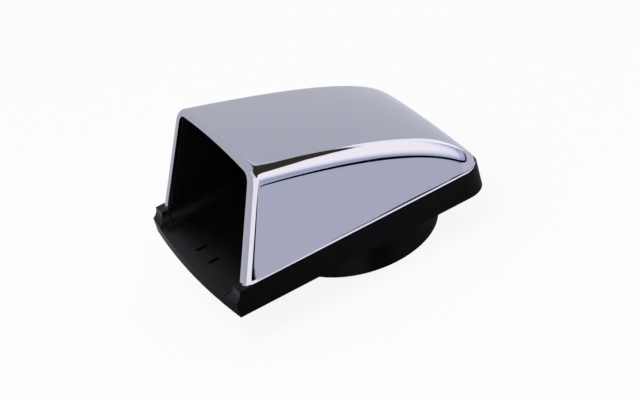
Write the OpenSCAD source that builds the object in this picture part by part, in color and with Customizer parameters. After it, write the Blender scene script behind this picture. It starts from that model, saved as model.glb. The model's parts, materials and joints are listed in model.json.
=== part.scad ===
// Low-profile cowl vent for a boat deck: a chrome hood over a black moulded base with a round
// collar for a 4 in air hose. The origin is on the collar's axis at the deck face, the open
// mouth looks towards -Y, +X is across the vent and +Z is up.

/* [Hose collar] */
// Outer diameter of the collar, which a 4 in hose slides over
collar_od = 101.6; // [76.2:0.1:127]
// Wall thickness of the collar
collar_wall = 3; // [2:0.5:5]
// Length of the collar below the deck face
collar_len = 24; // [15:1:60]
// Extra radius of the collar's root, above the deck face
collar_root = 1; // [0.5:0.1:1]
// Distance from the flange's top down to the top of the collar, which is the water dam
dam_drop = 0.5; // [0.4:0.1:4]

/* [Base] */
// Distance from the collar's side to the side of the base
side_margin = 10.7; // [10:0.1:30]
// Distance from the collar's front to the front corners of the base
front_reach = 54.7; // [45:0.1:90]
// Distance from the collar's rear to the rear edge of the base
rear_margin = 15.2; // [15:0.1:40]
// How far the middle of the front edge stands ahead of its corners
front_bow = 3.4; // [1:0.1:10]
// Plan radius of the two rear corners
corner_r = 14.5; // [12:0.5:25]
// Height of the flange that carries the hood
flange_h = 16.4; // [14:0.1:26]
// Height of the front lip and of the floor behind it
lip_h = 8.5; // [7:0.1:10]
// Thickness of the floor
floor_t = 3; // [2:0.5:4]
// Thickness of the outer skirt
skirt_t = 2; // [1.5:0.1:3]
// Width of the channel between the skirt and the inner wall
channel_w = 3.4; // [3:0.1:6]
// Thickness of the inner wall
inner_wall_t = 3.6; // [2:0.1:5]
// Thickness of the ledge that the hood stands on
ledge_t = 2.8; // [2:0.1:4]
// Height of the locating ribs above the ledge
rib_h = 2.6; // [1.5:0.1:5]
// Thickness of the locating ribs
rib_t = 1.2; // [1:0.1:2]
// Thickness of the stiffening webs under the floor
web_t = 2; // [1.5:0.1:3]
// Distance between the stiffening webs
web_pitch = 26; // [18:1:40]

/* [Hood] */
// Strip of the base that shows all round the hood's lower edge
reveal = 1.1; // [0.5:0.1:4]
// Distance from the front corners of the base back to the hood's front edge
lip_depth = 7.6; // [6:0.1:20]
// Height of the mouth above the flange
mouth_h = 63.7; // [50:0.1:90]
// Angle that the mouth leans back
mouth_rake = 23.5; // [0:0.1:35]
// Angle that the side walls lean inwards at the mouth
side_lean = 4.9; // [2:0.1:15]
// Angle that the side walls lean inwards at the rear edge
rear_lean = 22.1; // [5:0.1:25]
// Wall thickness of the chrome hood
hood_wall = 2.8; // [2:0.1:4]
// Radius of the rounded front rim
rim_r = 2.4; // [1:0.1:2.6]
// Width of the turned-in edges at the sides of the mouth, inside the wall
return_w = 4.3; // [1:0.1:4.5]
// Thickness of these turned-in edges
return_t = 2; // [1.5:0.1:2.5]
// Radius of the roof's crown, across the hood
crown_r = 605; // [200:5:800]
// Radius of the shoulders at the mouth
shoulder_front = 9.3; // [8:0.1:16]
// Radius of the shoulders at the rear
shoulder_rear = 13.1; // [4.5:0.1:16]
// Length of the roof curve's front handle, behind the mouth
front_run = 65.9; // [30:0.1:75]
// Fall of the roof curve over its front handle
front_fall = 16.3; // [0:0.1:30]
// Length of the roof curve's rear handle, ahead of the rear edge
rear_run = 12.6; // [4:0.1:35]
// Rise of the roof curve over its rear handle
rear_rise = 24.8; // [15:0.1:40]
// Height of the upright rear edge, where the roof curve ends
rear_edge_h = 3.8; // [3:0.1:8]

/* [Liner] */
// Wall thickness of the black liner inside the hood
liner_t = 1.4; // [1.2:0.1:2.5]
// Gap between the liner and the hood
liner_gap = 0.5; // [0.4:0.05:1]
// Distance from the mouth back to the liner's front edge, along the roof
liner_setback = 5; // [3:0.5:15]

/* [Fixings] */
// Width of the hood's fixing tabs
tab_w = 10; // [6:0.5:16]
// Thickness of the tabs
tab_t = 1.2; // [1:0.1:1.5]
// Length of the tabs below the flange's top
tab_len = 8; // [6:0.5:9]
// Thickness of the push-on clips
clip_t = 1.2; // [0.8:0.1:2]
// Outer diameter of the threaded inserts
insert_od = 7.1; // [6:0.1:8]
// Minor diameter of the M5 thread in the inserts
insert_bore = 4.2; // [3:0.1:5]
// Length of the inserts
insert_len = 8; // [6:0.5:10]
// Diameter of the bosses that hold the inserts
boss_d = 10.4; // [9:0.1:12]
// Distance from the side of the base to the inserts
insert_side = 18.5; // [17:0.5:24]
// Distance from the rear edge of the base to the rear inserts
insert_rear = 17; // [16:0.5:24]

/* [Seals] */
// Width of the deck gasket
gasket_w = 4; // [3:0.5:5]
// Width of the rubber strip under the hood
seal_w = 1.5; // [1:0.1:1.6]
// Thickness of the rubber strip under the hood
seal_t = 0.5; // [0.4:0.1:1]

/* [Hidden] */
$fn = 96;

// Clearances
fit = 0.05;
slot_gap = 0.3;
over = 1;

// Base
collar_r = collar_od / 2;
collar_bore_r = collar_r - collar_wall;
base_w = collar_od + 2 * side_margin;
base_front = collar_r + front_reach;
base_rear = collar_r + rear_margin;
bow_r = (pow(base_w / 2, 2) + pow(front_bow, 2)) / (2 * front_bow);
bow_fn = 720;
channel_in = skirt_t + channel_w;
most_lean = max(side_lean, rear_lean);
liner_in = hood_wall + liner_gap;
rib_in = reveal + (liner_in + liner_t) / cos(most_lean) + rib_h * tan(most_lean) + slot_gap;
rib_edge = 0.1;
inner_in = max(channel_in + inner_wall_t, rib_in + rib_t + rib_edge);
dam_top = flange_h - dam_drop;
floor_under = lip_h - floor_t;
trough_r = flange_h - lip_h - 0.1;
ear_r = flange_h - lip_h - 0.6;
ear_ahead = 3.5;
channel_start = 3;
web_gap = 1;

// Hood
hood_hw = base_w / 2 - reveal;
hood_front = base_front - lip_depth;
hood_rear = base_rear - reveal;
hood_corner = corner_r - reveal;
roof = [
    [-hood_front + mouth_h * tan(mouth_rake), flange_h + mouth_h],
    [-hood_front + mouth_h * tan(mouth_rake) + front_run, flange_h + mouth_h - front_fall],
    [hood_rear - rear_run, flange_h + rear_edge_h + rear_rise],
    [hood_rear, flange_h + rear_edge_h]
];
roof_pull = 3 * norm(roof[1] - roof[0]);
crown_steps = 7;
shoulder_steps = 8;
slice_steps = 24;
min_r = 0.4;
low_shoulder = 0.8;
low_crown = 0.3;
cavity_end = 0.965;
return_taper = 2;
liner_end = 0.87;

// Fixings
tab_in = skirt_t + (channel_w - tab_t) / 2;
tab_root = 3;
clip_over = 1.5;
side_tab_ends = [24, 32];
side_tab_middle = -8;
side_tabs = [-hood_front + side_tab_ends[0], side_tab_middle, hood_rear - side_tab_ends[1]];
rear_tabs = [-base_w / 5, base_w / 5];
insert_x = base_w / 2 - insert_side;
insert_y = base_rear - insert_rear;
insert_cap = 3.5;
boss_top = insert_len + insert_cap;
gasket_in = channel_in;
seal_edge = 0.1;
seal_in = reveal + seal_edge;
rib_ends = [33, 12];
rib_from = -hood_front + rib_ends[0];
rib_to = base_rear - corner_r - rib_ends[1];
drain_x = 9;
drain_w = 3;
drain_l = 7;

// ---- The hood's curved form -----------------------------------------------------------------

// Point on the roof's centre line, from the mouth (t = 0) to the rear edge (t = 1)
function roof_at(t) =
    pow(1 - t, 3) * roof[0] + 3 * t * pow(1 - t, 2) * roof[1]
    + 3 * t * t * (1 - t) * roof[2] + pow(t, 3) * roof[3];

// Direction in which the roof's centre line runs
function roof_dir(t) =
    let (d = pow(1 - t, 2) * (roof[1] - roof[0]) + 2 * t * (1 - t) * (roof[2] - roof[1])
        + t * t * (roof[3] - roof[2]))
    d / norm(d);

// Half width of the hood's foot at a place along the vent
function foot_hw(y) =
    let (past = min(max(y - (hood_rear - hood_corner), 0), hood_corner))
    hood_hw - hood_corner + sqrt(pow(hood_corner, 2) - pow(past, 2));

// Half of an arch: crown, shoulder and side wall of one slice, as [x, height in the slice].
// w is the half width at the foot, h the height, k the wall's lean and r the shoulder radius.
// Where the hood is low, its crown is flatter and its shoulders are smaller.
function half_arch(w, h, k, r, inset) =
    let (
        m = sqrt(1 + k * k),
        u = w - r * m,
        crown = max(crown_r, w * w / (2 * low_crown * h)),
        q = h - crown,
        b = u * k + q,
        a = 1 + k * k,
        up = (b + sqrt(b * b - a * (u * u + q * q - pow(crown - r, 2)))) / a,
        across = u - k * up,
        start = atan2(up - q, across),
        end = atan2(k, 1),
        small = max(r - inset, min_r),
        big = crown - r + small
    )
    concat(
        [for (i = [0:crown_steps - 1])
            let (g = 90 + (start - 90) * i / crown_steps) [big * cos(g), q + big * sin(g)]],
        [for (i = [0:shoulder_steps])
            let (g = start + (end - start) * i / shoulder_steps)
            [across + small * cos(g), up + small * sin(g)]],
        [[w - (r - small) * m, 0]]
    );

// One whole slice of the hood, set in by inset, at t along the roof, and narrower by pinch
function slice(t, inset, pinch = 0) =
    let (
        d = roof_dir(t),
        top = roof_at(t) + inset * [d[1], -d[0]],
        tilt = mouth_rake * (1 - t),
        rise = top[1] - flange_h,
        foot = top[0] - rise * tan(tilt),
        h = rise / cos(tilt) + inset,
        r = min(shoulder_front + (shoulder_rear - shoulder_front) * t, low_shoulder * h),
        lean = tan(side_lean + (rear_lean - side_lean) * t) * cos(tilt),
        half = half_arch(foot_hw(foot + inset * d[1] * d[1]) - pinch, h, lean, r, inset),
        n = len(half),
        flat = concat([for (i = [n - 1:-1:1]) [-half[i][0], half[i][1]]], half)
    )
    [for (p = flat) [p[0], foot + max(p[1], 0) * sin(tilt), flange_h + max(p[1], 0) * cos(tilt)]];

// Values of t for the slices, closer together towards the rear
function steps_to(from, end) =
    [for (i = [0:slice_steps]) from + (end - from) * (1 - pow(1 - i / slice_steps, 1.25))];

// [t, inset] of the slices that round the front rim
function rim() =
    [for (g = [0:30:60]) [rim_r * (1 - cos(g)) / roof_pull, rim_r * (1 - sin(g))]];

// A shell between outer and inner slices, open at the front and below
module shell(outer, inner) {
    rows = len(outer);
    cols = len(outer[0]);
    all = concat(outer, inner);
    points = [for (row = all) each row];
    function at(i, j) = i * cols + j;
    skin = [for (i = [0:rows - 2], j = [0:cols - 2])
        [at(i, j), at(i + 1, j), at(i + 1, j + 1), at(i, j + 1)]];
    lining = [for (i = [rows:2 * rows - 2], j = [0:cols - 2])
        [at(i, j), at(i, j + 1), at(i + 1, j + 1), at(i + 1, j)]];
    mouth = [for (j = [0:cols - 2]) [at(0, j), at(0, j + 1), at(rows, j + 1), at(rows, j)]];
    left = [for (i = [0:rows - 2]) [at(i, 0), at(rows + i, 0), at(rows + i + 1, 0), at(i + 1, 0)]];
    right = [for (i = [0:rows - 2])
        [at(i, cols - 1), at(i + 1, cols - 1), at(rows + i + 1, cols - 1), at(rows + i, cols - 1)]];
    rear_out = [for (j = [cols - 1:-1:0]) at(rows - 1, j)];
    rear_in = [for (j = [0:cols - 1]) at(2 * rows - 1, j)];
    rear_foot = [at(rows - 1, 0), at(2 * rows - 1, 0), at(2 * rows - 1, cols - 1), at(rows - 1, cols - 1)];
    polyhedron(points, concat(skin, lining, mouth, left, right, [rear_out], [rear_in], [rear_foot]));
}

// ---- The base's plan ------------------------------------------------------------------------

// Outline of the base, drawn in by inset
module plan(inset) {
    hw = base_w / 2;
    far = base_front + base_rear;
    intersection() {
        translate([0, bow_r - base_front - front_bow]) circle(bow_r - inset, $fn = bow_fn);
        union() {
            translate([inset - hw, base_rear - corner_r - far]) square([2 * (hw - inset), far]);
            translate([corner_r - hw, base_rear - inset - far]) square([2 * (hw - corner_r), far]);
            for (side = [-1, 1])
                translate([side * (hw - corner_r), base_rear - corner_r]) circle(corner_r - inset);
        }
    }
}

// A band of the outline between two insets
module band(from, to) {
    difference() {
        plan(from);
        plan(to);
    }
}

// Everything behind a place along the vent
module behind(y) {
    translate([-base_w, y]) square([2 * base_w, base_front + base_rear]);
}

// Cross-section of the air way above the floor, with rounded lower corners
module trough() {
    hw = base_w / 2 - inner_in;
    translate([trough_r - hw, lip_h]) square([2 * (hw - trough_r), flange_h]);
    translate([-hw, lip_h + trough_r]) square([2 * hw, flange_h]);
    for (side = [-1, 1])
        translate([side * (hw - trough_r), lip_h + trough_r]) circle(trough_r);
}

// Puts a child at each side tab or rear tab, with the child's +Y towards the edge of the base
module at_side_tabs() {
    for (side = [-1, 1], y = side_tabs)
        translate([side * base_w / 2, y]) rotate(-side * 90) children();
}

module at_rear_tabs() {
    for (x = rear_tabs)
        translate([x, base_rear]) children();
}

module at_inserts() {
    for (x = [-insert_x, insert_x], y = [-insert_y, insert_y])
        translate([x, y]) children();
}

// ---- Sub-parts ------------------------------------------------------------------------------

module tab_slot() {
    translate([-tab_w / 2 - slot_gap, -tab_in - tab_t - slot_gap, flange_h - ledge_t - over])
        cube([tab_w + 2 * slot_gap, tab_t + 2 * slot_gap, ledge_t + 2 * over]);
}

module tab() {
    translate([-tab_w / 2, -tab_in - tab_t, flange_h - tab_len])
        cube([tab_w, tab_t, tab_len + tab_root]);
}

module clip() {
    translate([0, 0, flange_h - ledge_t - clip_t])
        difference() {
            translate([-tab_w / 2 - clip_over, fit - channel_in, 0])
                cube([tab_w + 2 * clip_over, channel_w - 2 * fit, clip_t]);
            translate([-tab_w / 2 - fit, -tab_in - tab_t - fit, -over])
                cube([tab_w + 2 * fit, tab_t + 2 * fit, clip_t + 2 * over]);
        }
}

// Skirt, ledge, inner wall and floor, hollow from below
module tray() {
    difference() {
        linear_extrude(flange_h) plan(0);
        intersection() {
            translate([0, base_rear, 0]) rotate([90, 0, 0]) linear_extrude(base_front + base_rear) trough();
            linear_extrude(flange_h + over) plan(inner_in);
        }
        translate([0, -hood_front, 0]) rotate([90, 0, 0]) linear_extrude(2 * lip_depth) trough();
        translate([-base_w, -base_front - ear_ahead, flange_h]) rotate([0, 90, 0])
            cylinder(h = 2 * base_w, r = ear_r);
        translate([0, 0, -over]) linear_extrude(floor_under + over) plan(skirt_t);
        translate([0, 0, -over]) linear_extrude(flange_h - ledge_t + over) intersection() {
            band(skirt_t, channel_in);
            behind(-hood_front + channel_start);
        }
    }
}

// Low ribs on the ledge that locate the hood and its liner
module locating_ribs() {
    translate([0, 0, flange_h - ledge_t]) linear_extrude(ledge_t + rib_h) intersection() {
        band(rib_in, rib_in + rib_t);
        translate([-base_w, rib_from]) square([2 * base_w, rib_to - rib_from]);
    }
}

// Stiffening webs under the floor
module webs() {
    for (x = [-web_pitch, 0, web_pitch])
        translate([0, 0, web_gap]) linear_extrude(lip_h - floor_t / 2 - web_gap) intersection() {
            plan(gasket_in + gasket_w + web_gap);
            translate([x - web_t / 2, -2 * base_front]) square([web_t, 4 * base_front]);
        }
}

module base() {
    color("#17171a") difference() {
        union() {
            tray();
            locating_ribs();
            webs();
            translate([0, 0, -collar_len]) cylinder(h = collar_len + dam_top, r = collar_r);
            cylinder(h = lip_h - floor_t / 2, r = collar_r + collar_root);
            at_inserts() cylinder(h = boss_top, d = boss_d);
        }
        translate([0, 0, -collar_len - over])
            cylinder(h = collar_len + dam_top + 2 * over, r = collar_bore_r);
        at_inserts() translate([0, 0, -over]) cylinder(h = insert_len + over, d = insert_od + 2 * fit);
        at_side_tabs() tab_slot();
        at_rear_tabs() tab_slot();
        translate([0, 0, flange_h - seal_t]) linear_extrude(seal_t + over) intersection() {
            band(seal_in, seal_in + seal_w);
            behind(-hood_front + seal_in);
        }
        for (side = [-1, 1])
            translate([side * drain_x - drain_w / 2, -hood_front - drain_w / 2, 0])
                cube([drain_w, drain_l, flange_h]);
    }
}

module cover() {
    edge = rim_r / roof_pull;
    rim_slices = rim();
    outer = concat([for (r = rim_slices) slice(r[0], r[1])], [for (t = steps_to(edge, 1)) slice(t, 0)]);
    inner = concat([for (i = [0:2]) slice(i / 2 * return_t / roof_pull, hood_wall, return_w)],
        [for (t = steps_to((return_t + return_taper) / roof_pull, cavity_end)) slice(t, hood_wall)]);
    color("#c4c6cf") union() {
        shell(outer, inner);
        at_side_tabs() tab();
        at_rear_tabs() tab();
    }
}

module liner() {
    from = liner_setback / roof_pull;
    color("#101012")
        shell([for (t = steps_to(from, liner_end)) slice(t, liner_in)],
            [for (t = steps_to(from, liner_end - 0.02)) slice(t, liner_in + liner_t)]);
}

module cover_seal() {
    color("#202022") translate([0, 0, flange_h - seal_t]) linear_extrude(seal_t) intersection() {
        band(seal_in, seal_in + seal_w);
        behind(-hood_front + seal_in);
    }
}

module side_clips() {
    color("#b9bcc0") at_side_tabs() clip();
}

module rear_clips() {
    color("#b9bcc0") at_rear_tabs() clip();
}

module deck_inserts() {
    color("#c8a24a") at_inserts() difference() {
        cylinder(h = insert_len, d = insert_od);
        translate([0, 0, -over]) cylinder(h = insert_len + 2 * over, d = insert_bore);
    }
}

module deck_gasket() {
    color("#2b2b2e") linear_extrude(floor_under) band(gasket_in, gasket_in + gasket_w);
}

base();
cover();
liner();
cover_seal();
side_clips();
rear_clips();
deck_inserts();
deck_gasket();
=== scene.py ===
# %% [markdown]
# # A low cowl vent for a boat deck
# This lesson dresses a finished CAD model. The CAD parts are the frame: they keep their sizes and
# places, and every new piece is made to sit on them. The vent has a chrome hood with an open mouth,
# a black liner behind the mouth, and a black moulded base with a round collar for an air hose.
# Lengths are in metres, with `mm` as a short way to write small ones.

# %% Load the frame
import bpy
import bmesh
import json
from math import atan2, cos, pi, radians, sin, sqrt, tan
from mathutils import Matrix, Quaternion, Vector

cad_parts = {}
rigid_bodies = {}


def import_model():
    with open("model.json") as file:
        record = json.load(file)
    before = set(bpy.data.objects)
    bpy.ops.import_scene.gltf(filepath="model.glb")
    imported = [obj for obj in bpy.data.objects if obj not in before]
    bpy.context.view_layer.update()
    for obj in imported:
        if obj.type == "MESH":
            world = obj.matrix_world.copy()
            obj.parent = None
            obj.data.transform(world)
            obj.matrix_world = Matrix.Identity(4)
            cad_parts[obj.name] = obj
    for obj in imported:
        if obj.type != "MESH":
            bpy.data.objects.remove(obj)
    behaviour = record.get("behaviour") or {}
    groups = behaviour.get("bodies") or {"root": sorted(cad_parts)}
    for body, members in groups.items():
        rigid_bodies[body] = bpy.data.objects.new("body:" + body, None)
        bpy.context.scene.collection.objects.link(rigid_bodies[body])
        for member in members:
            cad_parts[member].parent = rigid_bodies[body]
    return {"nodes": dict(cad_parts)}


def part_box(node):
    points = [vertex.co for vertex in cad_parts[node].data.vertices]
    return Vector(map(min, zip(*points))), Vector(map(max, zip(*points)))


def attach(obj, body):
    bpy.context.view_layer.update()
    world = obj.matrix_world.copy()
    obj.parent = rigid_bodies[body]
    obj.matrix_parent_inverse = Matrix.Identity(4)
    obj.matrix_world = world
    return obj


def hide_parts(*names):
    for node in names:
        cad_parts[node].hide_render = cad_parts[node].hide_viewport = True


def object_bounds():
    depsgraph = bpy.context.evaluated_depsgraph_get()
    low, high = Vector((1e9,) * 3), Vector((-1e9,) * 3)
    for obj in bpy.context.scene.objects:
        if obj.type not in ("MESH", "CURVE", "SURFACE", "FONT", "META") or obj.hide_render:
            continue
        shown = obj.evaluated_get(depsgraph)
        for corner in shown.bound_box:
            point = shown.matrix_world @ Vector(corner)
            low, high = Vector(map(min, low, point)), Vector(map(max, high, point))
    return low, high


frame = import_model()
cad_low, cad_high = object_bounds()
mm = 0.001
print("CAD nodes:", sorted(frame["nodes"]))
print("CAD box, mm:", [round(v / mm, 1) for v in (*cad_low, *cad_high)])

# %% [markdown]
# ## Camera
# The vent is seen from its front right corner and from above, with a long lens and the camera
# rolled a little, so that the nose of the vent dips. A camera can be aimed by angles or by a point
# that it looks at. The point is easier to read, and the roll is added about the view direction.

# %% Camera
camera_data = bpy.data.cameras.new("camera")
camera_data.lens = 110.4
camera_data.sensor_width = 36
camera = bpy.data.objects.new("camera", camera_data)
bpy.context.scene.collection.objects.link(camera)
camera.location = (0.9553, -0.3433, 0.6402)
look_at = Vector((-0.0069, -0.0162, 0.0021))
camera_roll = radians(-16.7)
aim = (look_at - camera.location).to_track_quat("-Z", "Y")
camera.rotation_mode = "QUATERNION"
camera.rotation_quaternion = aim @ Quaternion((0, 0, 1), camera_roll)
bpy.context.scene.camera = camera
print("camera distance, m:", round((look_at - camera.location).length, 3))

# %% [markdown]
# ## Small helpers
# Each piece is a bmesh that becomes a mesh object at the origin and rides on the one CAD body.
# Edges that turn by more than a set angle are marked sharp, so that the rest shades smoothly.
# A finish starts as a node material with one shader, to which each recipe adds its own nodes.

# %% A piece from a bmesh
def add_piece(bm, name, material, sharp):
    """Turns a bmesh into a piece of the vent. Edges over `sharp` degrees stay crisp."""
    for face in bm.faces:
        face.smooth = True
    for edge in bm.edges:
        if len(edge.link_faces) == 2:
            edge.smooth = edge.calc_face_angle(0) < radians(sharp)
    mesh = bpy.data.meshes.new(name)
    bm.to_mesh(mesh)
    bm.free()
    piece = bpy.data.objects.new(name, mesh)
    bpy.context.scene.collection.objects.link(piece)
    mesh.materials.append(material)
    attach(piece, "root")
    print(name, "faces:", len(mesh.polygons))
    return piece


print("pieces ride on the body: root")

# %% An empty finish
def new_material(name):
    """A node material with its shader, ready for more nodes."""
    material = bpy.data.materials.new(name)
    material.use_nodes = True
    print("finish:", name)
    return material, material.node_tree.nodes, material.node_tree.links


# %% [markdown]
# ## Chrome
# The hood is plastic or brass with a bright chrome plate, so its colour is almost only what it
# mirrors. A metallic shader with a cool grey does that. Real plate is never perfectly flat: a long,
# very shallow noise in the bump bends the mirrored edges a little, and a fine one in the roughness
# gives the faint haze that polishing leaves.

# %% Chrome
def make_chrome():
    """Bright plate: a mirror with a faint haze and a barely wavy face."""
    material, nodes, links = new_material("chrome_plate")
    shader = nodes["Principled BSDF"]
    shader.inputs["Metallic"].default_value = 1
    shader.inputs["Base Color"].default_value = (0.52, 0.525, 0.56, 1)
    place = nodes.new("ShaderNodeTexCoord")
    haze = nodes.new("ShaderNodeTexNoise")
    haze.inputs["Scale"].default_value = 900
    haze.inputs["Detail"].default_value = 4
    haze_range = nodes.new("ShaderNodeMapRange")
    haze_range.inputs["To Min"].default_value = 0.03
    haze_range.inputs["To Max"].default_value = 0.07
    wave = nodes.new("ShaderNodeTexNoise")
    wave.inputs["Scale"].default_value = 28
    wave.inputs["Detail"].default_value = 1
    bump = nodes.new("ShaderNodeBump")
    bump.inputs["Strength"].default_value = 0.05
    bump.inputs["Distance"].default_value = 0.6 * mm
    links.new(place.outputs["Object"], haze.inputs["Vector"])
    links.new(place.outputs["Object"], wave.inputs["Vector"])
    links.new(haze.outputs["Fac"], haze_range.inputs["Value"])
    links.new(haze_range.outputs["Result"], shader.inputs["Roughness"])
    links.new(wave.outputs["Fac"], bump.inputs["Height"])
    links.new(bump.outputs["Normal"], shader.inputs["Normal"])
    return material


chrome = make_chrome()

# %% [markdown]
# ## Black plastics and small finishes
# The base is a satin black moulding, the liner a matt one, and the gasket a foam rubber. The
# liner's black is made darker still, as painted shade for the deep inside of the mouth. The clips
# are spring steel and the deck inserts brass. All could have recipes of their own, but they differ
# only in numbers, so one
# function makes them: a colour that a noise shifts slightly, a roughness that follows the same
# noise, and a fine bump for the moulded, foamed or drawn texture.

# %% Recipe for a moulded finish
def make_moulded(name, dark, light, rough, grain, depth, gloss, metallic=0):
    """A finish between two colours and two roughnesses, with a bump of `grain` and `depth`."""
    material, nodes, links = new_material(name)
    shader = nodes["Principled BSDF"]
    shader.inputs["Metallic"].default_value = metallic
    shader.inputs["Specular IOR Level"].default_value = gloss
    place = nodes.new("ShaderNodeTexCoord")
    cloud = nodes.new("ShaderNodeTexNoise")
    cloud.inputs["Scale"].default_value = grain / 12
    cloud.inputs["Detail"].default_value = 5
    tint = nodes.new("ShaderNodeMix")
    tint.data_type = "RGBA"
    tint.inputs["A"].default_value = (*dark, 1)
    tint.inputs["B"].default_value = (*light, 1)
    rough_range = nodes.new("ShaderNodeMapRange")
    rough_range.inputs["To Min"].default_value = rough[0]
    rough_range.inputs["To Max"].default_value = rough[1]
    texture = nodes.new("ShaderNodeTexNoise")
    texture.inputs["Scale"].default_value = grain
    texture.inputs["Detail"].default_value = 3
    bump = nodes.new("ShaderNodeBump")
    bump.inputs["Strength"].default_value = 0.3
    bump.inputs["Distance"].default_value = depth
    links.new(place.outputs["Object"], cloud.inputs["Vector"])
    links.new(place.outputs["Object"], texture.inputs["Vector"])
    links.new(cloud.outputs["Fac"], tint.inputs["Factor"])
    links.new(tint.outputs["Result"], shader.inputs["Base Color"])
    links.new(cloud.outputs["Fac"], rough_range.inputs["Value"])
    links.new(rough_range.outputs["Result"], shader.inputs["Roughness"])
    links.new(texture.outputs["Fac"], bump.inputs["Height"])
    links.new(bump.outputs["Normal"], shader.inputs["Normal"])
    return material


# %% The moulded finishes
base_black = make_moulded(
    "base_black", (0.0012, 0.0012, 0.0014), (0.0024, 0.0024, 0.0026),
    rough=(0.26, 0.36), grain=1500, depth=0.03 * mm, gloss=0.14,
)
# The liner is black plastic made darker still: painted shade for the deep inside of the mouth.
liner_black_painted_shade = make_moulded(
    "liner_black_painted_shade", (0.0006, 0.0006, 0.0007), (0.0012, 0.0012, 0.0013),
    rough=(0.55, 0.75), grain=1200, depth=0.08 * mm, gloss=0.08,
)
seal_black = make_moulded(
    "seal_black", (0.008, 0.008, 0.008), (0.014, 0.014, 0.014),
    rough=(0.6, 0.8), grain=1800, depth=0.06 * mm, gloss=0.3,
)
gasket_grey = make_moulded(
    "gasket_grey", (0.020, 0.020, 0.022), (0.045, 0.045, 0.048),
    rough=(0.8, 0.95), grain=700, depth=0.3 * mm, gloss=0.3,
)
clip_steel = make_moulded(
    "clip_steel", (0.42, 0.42, 0.43), (0.60, 0.60, 0.61),
    rough=(0.25, 0.40), grain=900, depth=0.02 * mm, gloss=0.5, metallic=1,
)
insert_brass = make_moulded(
    "insert_brass", (0.55, 0.38, 0.14), (0.70, 0.52, 0.22),
    rough=(0.22, 0.38), grain=900, depth=0.02 * mm, gloss=0.5, metallic=1,
)

# %% Finish the CAD nodes that keep their shape
finishes = {
    "base": base_black,
    "cover_seal": seal_black,
    "side_clips": clip_steel,
    "rear_clips": clip_steel,
    "deck_inserts": insert_brass,
    "deck_gasket": gasket_grey,
}
for node, material in finishes.items():
    part = frame["nodes"][node]
    part.data.materials.clear()
    part.data.materials.append(material)
print("CAD nodes finished:", sorted(finishes))

# %% [markdown]
# ## The hood's curved form
# The hood is a row of arches that stand on the flange. Each arch has a shallow crown, two rounded
# shoulders and two side walls that lean inwards, and the arches shrink along a roof curve from the
# mouth to the rear edge. It could be sculpted from a box, but a formula for one point is used
# here, because the chrome skin and the liner inside it follow one form at two depths.

# %% Sizes of the hood
foot_gap = 1.1 * mm
lip_length = 11.0 * mm
flange_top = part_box("cover_seal")[1].z
base_low, base_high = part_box("base")
foot_half = base_high.x - foot_gap
hood_front = base_low.y + lip_length
hood_rear = base_high.y - foot_gap
corner_radius = 13.4 * mm
mouth_height = 63.7 * mm
mouth_rake = radians(23.5)
lean_front, lean_rear = radians(4.9), radians(22.1)
crown_radius = 605 * mm
shoulder_front, shoulder_rear = 9.3 * mm, 13.1 * mm
smallest_radius = 0.4 * mm
print("hood from", round(hood_front / mm, 1), "to", round(hood_rear / mm, 1), "mm")

# %% The roof's centre line
roof_start = Vector((hood_front + mouth_height * tan(mouth_rake), flange_top + mouth_height))
roof_handles = [
    roof_start,
    roof_start + Vector((65.9, -16.3)) * mm,
    Vector((hood_rear - 12.6 * mm, flange_top + 28.6 * mm)),
    Vector((hood_rear, flange_top + 3.8 * mm)),
]
roof_pull = 3 * (roof_handles[1] - roof_handles[0]).length


def roof_at(t):
    """Place and direction of the roof's centre line, from the mouth (0) to the rear edge (1)."""
    a, b, c, d = roof_handles
    s = 1 - t
    place = a * s**3 + b * (3 * t * s**2) + c * (3 * t * t * s) + d * t**3
    run = (b - a) * s * s + (c - b) * (2 * t * s) + (d - c) * t * t
    return place, run.normalized()


print("roof height half way, mm:", round((roof_at(0.5)[0].y - flange_top) / mm, 1))

# %% One arch
CROWN, SHOULDER, SIDE = 20, 14, 10  # steps over half a crown, one shoulder and one side wall


def foot_width(y):
    """Half width of the hood's foot, which rounds off at the two rear corners."""
    past = min(max(y - (hood_rear - corner_radius), 0), corner_radius)
    return foot_half - corner_radius + sqrt(corner_radius**2 - past**2)


def arch_point(width, height, lean, radius, inset, step):
    """Point number `step` of half an arch, counted from the top of the crown to the foot."""
    slope = sqrt(1 + lean * lean)
    u = width - radius * slope
    crown = max(crown_radius, width * width / (0.6 * height))
    centre = height - crown
    b = u * lean + centre
    a = 1 + lean * lean
    up = (b + sqrt(b * b - a * (u * u + centre * centre - (crown - radius) ** 2))) / a
    across = u - lean * up
    start, end = atan2(up - centre, across), atan2(lean, 1)
    small = max(radius - inset, smallest_radius)
    big = crown - radius + small
    if step <= CROWN:
        angle = pi / 2 + (start - pi / 2) * step / CROWN
        return big * cos(angle), centre + big * sin(angle)
    if step <= CROWN + SHOULDER:
        angle = start + (end - start) * (step - CROWN) / SHOULDER
        return across + small * cos(angle), up + small * sin(angle)
    share = 1 - (1 - (step - CROWN - SHOULDER) / SIDE) ** 2
    x0, z0 = across + small * cos(end), up + small * sin(end)
    x1 = width - (radius - small) * slope
    return x0 + (x1 - x0) * share, z0 * (1 - share)


print("foot half width at the front, mm:", round(foot_width(hood_front) / mm, 1))

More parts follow.
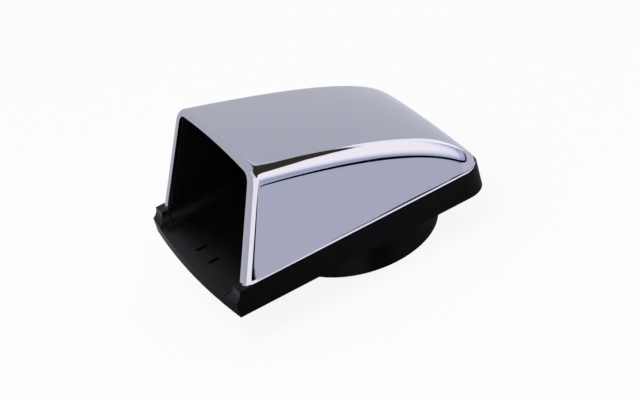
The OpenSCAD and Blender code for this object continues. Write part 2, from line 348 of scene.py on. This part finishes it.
# %% One point of the hood
def hood_point(t, inset, pinch, step):
    """A hood point at t along the roof, `step` steps right (or left, below 0) of the middle.

    `inset` moves it in from the outer skin, and `pinch` moves only the sides in.
    """
    place, run = roof_at(t)
    top = place + Vector((run.y, -run.x)) * inset
    tilt = mouth_rake * (1 - t)
    rise = top.y - flange_top
    foot = top.x - rise * tan(tilt)
    height = rise / cos(tilt) + inset
    radius = min(shoulder_front + (shoulder_rear - shoulder_front) * t, 0.8 * height)
    lean = tan(lean_front + (lean_rear - lean_front) * t) * cos(tilt)
    width = foot_width(foot + inset * run.y * run.y) - pinch
    x, up = arch_point(width, height, lean, radius, inset, abs(step))
    up = max(up, 0)
    side = 1 if step >= 0 else -1
    return Vector((side * x, foot + up * sin(tilt), flange_top + up * cos(tilt)))


print("top of the mouth, mm:", [round(v / mm, 1) for v in hood_point(0, 0, 0, 0)])

# %% [markdown]
# ## Skins from a grid
# A grid is the natural start for such a form: its columns run across the arch and its rows run from
# the inner rear end forward, round the front edge and back over the outside. Moving every vertex of
# the grid onto the form gives a skin with a real wall. A Solidify modifier would give one too, but
# without the turned-in edges. The two rear arches and the foot are then closed with flat faces.

# %% Arched skins
def arched_skin(stations):
    """A walled skin through (t, inset, pinch) stations, from inner rear end to outer rear end."""
    half = CROWN + SHOULDER + SIDE
    rows = len(stations) - 1
    bm = bmesh.new()
    bmesh.ops.create_grid(bm, x_segments=2 * half, y_segments=rows, size=1)
    ends = {0: set(), rows: set()}
    for vert in bm.verts:
        step, row = round(vert.co.x * half), round((vert.co.y + 1) / 2 * rows)
        vert.co = hood_point(*stations[row], step)
        if row in ends:
            ends[row].add(vert)
    for arch in ends.values():
        arch_edges = {e for v in arch for e in v.link_edges if arch.issuperset(e.verts)}
        bmesh.ops.contextual_create(bm, geom=list(arch) + list(arch_edges))
    foot = [e for e in bm.edges if len(e.link_faces) < 2]
    bmesh.ops.holes_fill(bm, edges=foot, sides=0)
    bmesh.ops.recalc_face_normals(bm, faces=bm.faces[:])
    open_edges = sum(e.is_boundary for e in bm.edges)
    print("arched skin:", len(bm.faces), "faces,", open_edges, "open edges")
    return bm


def along_roof(start, end, count, ease=1.25):
    """Values of t from start to end, closer together towards the rear."""
    return [start + (end - start) * (1 - (1 - i / count) ** ease) for i in range(count + 1)]


# %% [markdown]
# ## Chrome hood
# The hood's side edges are turned in behind the mouth, and its front edge is rolled over to a soft
# rim. A bevel would make that rim equally round everywhere, but the real one is longer along the
# roof than it is deep, so a few stations turn a quarter of an ellipse from the wall to the skin.

# %% Chrome hood
wall = 2.8 * mm
rim, rim_side, rim_back = 2.4 * mm, 2.2 * mm, 4.6 * mm
edge_width, edge_depth = 4.3 * mm, 2 * mm
inner_end = 0.965
inner_side = [(t, wall, 0) for t in along_roof(2 * edge_depth / roof_pull, inner_end, 60)][::-1]
turned_in = [
    (edge_depth * share / roof_pull, wall, edge_width) for share in (1, 0.95, 0.5, 0.05, 0)
]
rim_turn = []
for degrees in range(0, 90, 6):
    back, left_over = 1 - cos(radians(degrees)), 1 - sin(radians(degrees))
    rim_turn.append((rim_back * back / roof_pull, rim * left_over, rim_side * left_over))
outer_side = [(t, 0, 0) for t in along_roof(rim_back / roof_pull, 1, 100)]
hood = arched_skin(inner_side + turned_in + rim_turn + outer_side)

# %% [markdown]
# ## The rolled lower edge
# The plate rolls out a little where it meets the base, so its foot catches light from above and
# draws a thin bright line all round. Moving the lowest vertices outwards is enough for that: an
# extra bead would need a seam.

# %% The rolled lower edge
roll_height, roll_out = 0.8 * mm, 0.3 * mm
outer_band = 1.2 * mm
rolled = 0
hood.normal_update()
for vert in hood.verts:
    low = flange_top + roll_height - vert.co.z
    at_side = abs(abs(vert.co.x) - foot_width(vert.co.y)) < outer_band
    at_rear = vert.co.y > hood_rear - outer_band
    if low > 0 and (at_side or at_rear) and vert.co.y > hood_front + rim_back:
        outwards = Vector((vert.normal.x, vert.normal.y, 0)).normalized()
        vert.co += outwards * roll_out * (low / roll_height) ** 2
        rolled += 1
print("vertices rolled out:", rolled)

# %% [markdown]
# ## Tabs
# Eight flat tabs under the hood's foot pass through slots in the base, where the clips grip them.
# Each is a bevelled block, made once along x and turned to its place.

# %% Tabs under the hood
tab_width, tab_thickness, tab_length = 10 * mm, 1.2 * mm, 11 * mm
tab_inset, tab_drop = 3.7 * mm, 2.5 * mm


def add_tab(bm, place, turn):
    """A flat tab that hangs from the foot, with its wide side along x before it is turned."""
    size = Matrix.Diagonal((tab_width, tab_thickness, tab_length, 1))
    set_in = Matrix.Translation((0, -tab_inset, flange_top - tab_drop))
    where = Matrix.Translation(place) @ Matrix.Rotation(turn, 4, "Z") @ set_in
    tab = bmesh.ops.create_cube(bm, size=1, matrix=where @ size)
    edges = {e for v in tab["verts"] for e in v.link_edges}
    bmesh.ops.bevel(
        bm, geom=list(edges), offset=0.2 * mm, segments=2, profile=0.5, affect="EDGES",
        material=-1,
    )


tab_rows = (hood_front + 24 * mm, -8 * mm, hood_rear - 32 * mm)
for side in (-1, 1):
    for y in tab_rows:
        add_tab(hood, (side * base_high.x, y, 0), -side * pi / 2)
    add_tab(hood, (side * base_high.x * 0.4, base_high.y, 0), 0)
chrome_hood = add_piece(hood, "chrome_hood", chrome, sharp=30)
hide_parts("cover")

# %% [markdown]
# ## Liner
# The liner is a black moulding that follows the hood inside, half a millimetre clear of it. It
# stops five millimetres behind the mouth, so a strip of the chrome's inner side shows in front of
# it. It is the same kind of skin with other insets, and its front ring gets a small bevel.

# %% Liner
liner_out, liner_in = 3.3 * mm, 4.7 * mm
liner_front = 5 * mm / roof_pull
inner_rear, outer_rear = 0.85, 0.87
liner_rows = [(t, liner_in, 0) for t in along_roof(liner_front, inner_rear, 50)][::-1]
liner_rows += [(t, liner_out, 0) for t in along_roof(liner_front, outer_rear, 50)]
liner = arched_skin(liner_rows)
front_ring = [
    e for e in liner.edges
    if e.is_manifold and e.calc_face_angle(0) > 1
    and max(v.co.y for v in e.verts) < hood_front + 40 * mm
    and min(v.co.z for v in e.verts) > flange_top
]
bmesh.ops.bevel(
    liner, geom=front_ring, offset=0.3 * mm, segments=2, profile=0.5, affect="EDGES",
    material=-1,
)
black_liner = add_piece(liner, "black_liner", liner_black_painted_shade, sharp=35)
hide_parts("liner")

# %% [markdown]
# ## Floor and world
# A product studio has white paper under the object and white all round. Paper lit to full white
# would need lamps that bleach the object, so the paper and the world instead look white to the eye,
# to mirrors and to glass by the kind of ray that meets them, and light the object at a plain level.

# %% What eye, mirror and glass see
def eye_or_mirror(nodes, links):
    """A socket that is 1 for rays from the camera, from a mirror or through glass."""
    path = nodes.new("ShaderNodeLightPath")
    found = path.outputs["Is Camera Ray"]
    for kind in ("Is Glossy Ray", "Is Transmission Ray"):
        either = nodes.new("ShaderNodeMath")
        either.operation = "MAXIMUM"
        links.new(found, either.inputs[0])
        links.new(path.outputs[kind], either.inputs[1])
        found = either.outputs["Value"]
    return found


def make_backdrop(name, seen, lit):
    """Plain paper: `seen` is its brightness to the eye, `lit` how strongly it takes a shadow."""
    material, nodes, links = new_material(name)
    paper = nodes["Principled BSDF"]
    paper.inputs["Base Color"].default_value = (0.8, 0.8, 0.8, 1)
    paper.inputs["Roughness"].default_value = 0.9
    glow = nodes.new("ShaderNodeEmission")
    glow.inputs["Color"].default_value = (1, 1, 1, 1)
    glow.inputs["Strength"].default_value = seen
    share = nodes.new("ShaderNodeMath")
    share.operation = "MULTIPLY"
    share.inputs[1].default_value = 1 - lit
    blend = nodes.new("ShaderNodeMixShader")
    links.new(eye_or_mirror(nodes, links), share.inputs[0])
    links.new(share.outputs["Value"], blend.inputs["Fac"])
    links.new(paper.outputs["BSDF"], blend.inputs[1])
    links.new(glow.outputs["Emission"], blend.inputs[2])
    links.new(blend.outputs["Shader"], nodes["Material Output"].inputs["Surface"])
    return material


white_paper = make_backdrop("white_paper", seen=1, lit=0.1)

# %% World
def make_world(level, seen):
    """An even sky at `level` for lighting, which eye, mirror and glass see at `seen`."""
    world = bpy.data.worlds.new("studio")
    bpy.context.scene.world = world
    world.use_nodes = True
    nodes, links = world.node_tree.nodes, world.node_tree.links
    plain = nodes["Background"]
    plain.inputs["Color"].default_value = (1, 1, 1, 1)
    plain.inputs["Strength"].default_value = level
    bright = nodes.new("ShaderNodeBackground")
    bright.inputs["Color"].default_value = (1, 1, 1, 1)
    bright.inputs["Strength"].default_value = seen
    blend = nodes.new("ShaderNodeMixShader")
    links.new(eye_or_mirror(nodes, links), blend.inputs["Fac"])
    links.new(plain.outputs["Background"], blend.inputs[1])
    links.new(bright.outputs["Background"], blend.inputs[2])
    links.new(blend.outputs["Shader"], nodes["World Output"].inputs["Surface"])
    print("world level", level, "seen at", seen)


make_world(level=0.6, seen=1)

# %% Floor
floor_half = 6
floor_place = Matrix.Translation((0, 0, cad_low.z - 0.5 * mm))
bm = bmesh.new()
bmesh.ops.create_grid(bm, x_segments=1, y_segments=1, size=floor_half, matrix=floor_place)
floor_mesh = bpy.data.meshes.new("floor")
bm.to_mesh(floor_mesh)
bm.free()
floor = bpy.data.objects.new("floor", floor_mesh)
bpy.context.scene.collection.objects.link(floor)
floor_mesh.materials.append(white_paper)
floor.visible_glossy = False  # mirrors see the low cards instead, and the shadow stays
print("floor height, mm:", round((cad_low.z - 0.5 * mm) / mm, 1))

# %% [markdown]
# ## Cards for the mirrors
# A chrome part shows what stands round it. The cards are plain glowing panels that only mirrors
# see: they stay out of sight of the camera, throw no shadow and light nothing matt. Lamps could be
# used instead, but each would also light the black base, and a card's edge can be placed exactly.

# %% Glow of a card
def make_glow(name, colours, low=0.0, high=1.0):
    """A glowing card finish. Several colours blend from height `low` to height `high`."""
    material, nodes, links = new_material(name)
    nodes.remove(nodes["Principled BSDF"])
    glow = nodes.new("ShaderNodeEmission")
    links.new(glow.outputs["Emission"], nodes["Material Output"].inputs["Surface"])
    if len(colours) == 1:
        glow.inputs["Color"].default_value = (*colours[0], 1)
        return material
    place = nodes.new("ShaderNodeTexCoord")
    axes = nodes.new("ShaderNodeSeparateXYZ")
    share = nodes.new("ShaderNodeMapRange")
    share.inputs["From Min"].default_value = low
    share.inputs["From Max"].default_value = high
    ramp = nodes.new("ShaderNodeValToRGB")
    while len(ramp.color_ramp.elements) < len(colours):
        ramp.color_ramp.elements.new(0.5)
    for i, colour in enumerate(colours):
        ramp.color_ramp.elements[i].position = i / (len(colours) - 1)
        ramp.color_ramp.elements[i].color = (*colour, 1)
    links.new(place.outputs["Object"], axes.inputs["Vector"])
    links.new(axes.outputs["Z"], share.inputs["Value"])
    links.new(share.outputs["Result"], ramp.inputs["Fac"])
    links.new(ramp.outputs["Color"], glow.inputs["Color"])
    return material


# %% The glows
DOME = 2.5  # radius of the dome on which most cards hang
softbox_glow = make_glow(
    "softbox_glow",
    [
        (0.5, 0.62, 0.84), (0.68, 0.74, 1.02), (1.10, 1.08, 1.32), (1.42, 1.36, 1.46),
        (1.6, 1.52, 1.6),
    ],
    low=DOME * sin(radians(12)), high=DOME * sin(radians(32)),
)
grey_glow = make_glow("grey_glow", [(0.70, 0.705, 0.80)])
side_glow = make_glow("side_glow", [(0.72, 0.735, 0.90)])
blue_glow = make_glow("blue_glow", [(0.62, 0.70, 0.95)])
lilac_glow = make_glow("lilac_glow", [(0.82, 0.80, 0.95)])
sky_glow = make_glow("sky_glow", [(0.85, 0.95, 1.2)])
bright_glow = make_glow("bright_glow", [(1.5, 1.45, 1.52)])
black_glow = make_glow("black_glow", [(0.0, 0.0, 0.0)])
olive_glow = make_glow("olive_glow", [(0.055, 0.045, 0.025)])

# %% Hang a card
def hang_card(bm, name, material):
    """Puts a card in the studio, where only mirror-like surfaces see it."""
    mesh = bpy.data.meshes.new(name)
    bm.to_mesh(mesh)
    bm.free()
    card = bpy.data.objects.new(name, mesh)
    bpy.context.scene.collection.objects.link(card)
    mesh.materials.append(material)
    card.visible_camera = False
    card.visible_diffuse = False
    card.visible_shadow = False
    print("card:", name)


def along_edge(edge, share):
    """The value at a share of the way along an edge that is listed at even steps."""
    place = share * (len(edge) - 1)
    k = min(int(place), len(edge) - 2)
    return edge[k] + (edge[k + 1] - edge[k]) * (place - k)


def dome_card(name, turn, lower, upper, material, further=0.0):
    """A bent card between two bearings in degrees, clockwise from +Y.

    `lower` and `upper` list the heights of its edges in degrees above the horizon, and `further`
    hangs it behind (or, below 0, in front of) the other cards.
    """
    radius = DOME + further
    bm = bmesh.new()
    bmesh.ops.create_grid(bm, x_segments=48, y_segments=12, size=1)
    for vert in bm.verts:
        across, up = (vert.co.x + 1) / 2, (vert.co.y + 1) / 2
        bearing = radians(turn[0] + (turn[1] - turn[0]) * across)
        low, high = along_edge(lower, across), along_edge(upper, across)
        rise = radians(low + (high - low) * up)
        level = cos(rise)
        vert.co = radius * Vector((sin(bearing) * level, cos(bearing) * level, sin(rise)))
    hang_card(bm, name, material)


# %% [markdown]
# ## Cards on the dome
# On a far dome a card's bearing and height alone decide where the hood shows it. The roof mirrors
# the left, the side wall the right, and the shoulder between them sweeps over the softbox, with a
# black rail below it and a dark ceiling above. The base and its collar mirror the black ground.

# %% Cards for the shoulder
dome_card("softbox", (-45, 64), (-6, 2, 6, 8, 8, 4, 3, 3), (60, 60), softbox_glow)
dome_card("white_edge", (-46, -30), (-6, -2), (28, 36), bright_glow, -0.02)
dome_card("black_rail", (-18, 46), (8, 8, 6, 4, 2), (9, 12.5, 11.5, 9, 8), black_glow, -0.05)
dome_card(
    "dark_ceiling", (-60, 72), (28, 30, 36, 41, 47, 50.5, 50.5, 50, 49, 48, 47, 46), (89, 89),
    olive_glow, -0.1,
)
dome_card(
    "sky_strip", (-60, -24), (27.6, 30.8, 35.5, 40), (28.5, 32, 37, 41.5), sky_glow, -0.12
)

# %% Cards for the roof, the side wall, the rim and the base
LOW_EDGE = -32
dome_card("grey_left", (-110, -45), (LOW_EDGE, LOW_EDGE), (85, 85), grey_glow, 0.02)
dome_card("grey_left_low", (-46, -20), (LOW_EDGE, LOW_EDGE), (0, 4), grey_glow, 0.03)
dome_card("lilac_low", (-20, 65), (LOW_EDGE, LOW_EDGE), (10, 10), lilac_glow, 0.03)
dome_card("grey_right", (64.5, 79), (LOW_EDGE, LOW_EDGE), (7, 7), side_glow, 0.02)
dome_card("black_post", (79, 110), (LOW_EDGE, LOW_EDGE), (-14, -14), black_glow)
dome_card("bright_right", (64, 150), (6, 6), (60, 60), bright_glow, 0.04)
dome_card("bright_middle", (79, 110), (-15, -15), (7, 7), bright_glow, 0.04)
dome_card("bright_edge", (110, 150), (LOW_EDGE, LOW_EDGE), (7, 7), bright_glow, 0.04)
dome_card("grey_front", (150, 250), (LOW_EDGE, LOW_EDGE), (60, 60), grey_glow, 0.02)
dome_card("black_ground", (-180, 180), (-89, -89), (-30.5, -30.5), black_glow)

# %% [markdown]
# ## Strips beside the vent
# The black line under the shoulder comes from a strip that hangs close by, not from the dome: the
# front of the hood mirrors it, and the rear corner, a hand's breadth away, does not. A blue strip
# behind it tints the lower part of the shoulder.

# %% Strips beside the vent
def near_strip(name, distance, edges, material):
    """An upright strip beside the vent; `edges` lists (y, low, high) along it, in mm."""
    bm = bmesh.new()
    columns = [
        [bm.verts.new(Vector((distance, y, z)) * mm) for z in (low, high)] for y, low, high in edges
    ]
    for (low, high), (next_low, next_high) in zip(columns, columns[1:]):
        bmesh.ops.contextual_create(bm, geom=[low, next_low, next_high, high])
    hang_card(bm, name, material)


black_edges = [
    (30, -34, -16), (64, -9, 28), (99, 8, 52), (129, 26, 70), (160, 42, 88), (210, 40, 90),
    (700, 40, 90),
]
blue_edges = [(20, -28, 30), (64, 10, 70), (129, 50, 96), (160, 70, 100)]
near_strip("black_strip", 300, black_edges, black_glow)
near_strip("blue_strip", 310, blue_edges, blue_glow)

# %% [markdown]
# ## Key light
# One wide, weak lamp in front and above gives the soft shadow under the vent and a little shape on
# the black base. It is hidden from mirrors, where the cards already do its work.

# %% Key light
key_data = bpy.data.lights.new("key", "AREA")
key_data.shape = "RECTANGLE"
key_data.size = key_data.size_y = 0.8
key_data.energy = 9
key = bpy.data.objects.new("key", key_data)
bpy.context.scene.collection.objects.link(key)
key.location = (0.35, -0.5, 1.2)
key.rotation_euler = (-key.location).to_track_quat("-Z", "Y").to_euler()
key.visible_glossy = False
print("key light at", [round(v, 2) for v in key.location])

# %% [markdown]
# ## View transform
# The scene's view transform is set to Standard.

# %% View transform
bpy.context.scene.view_settings.view_transform = "Standard"
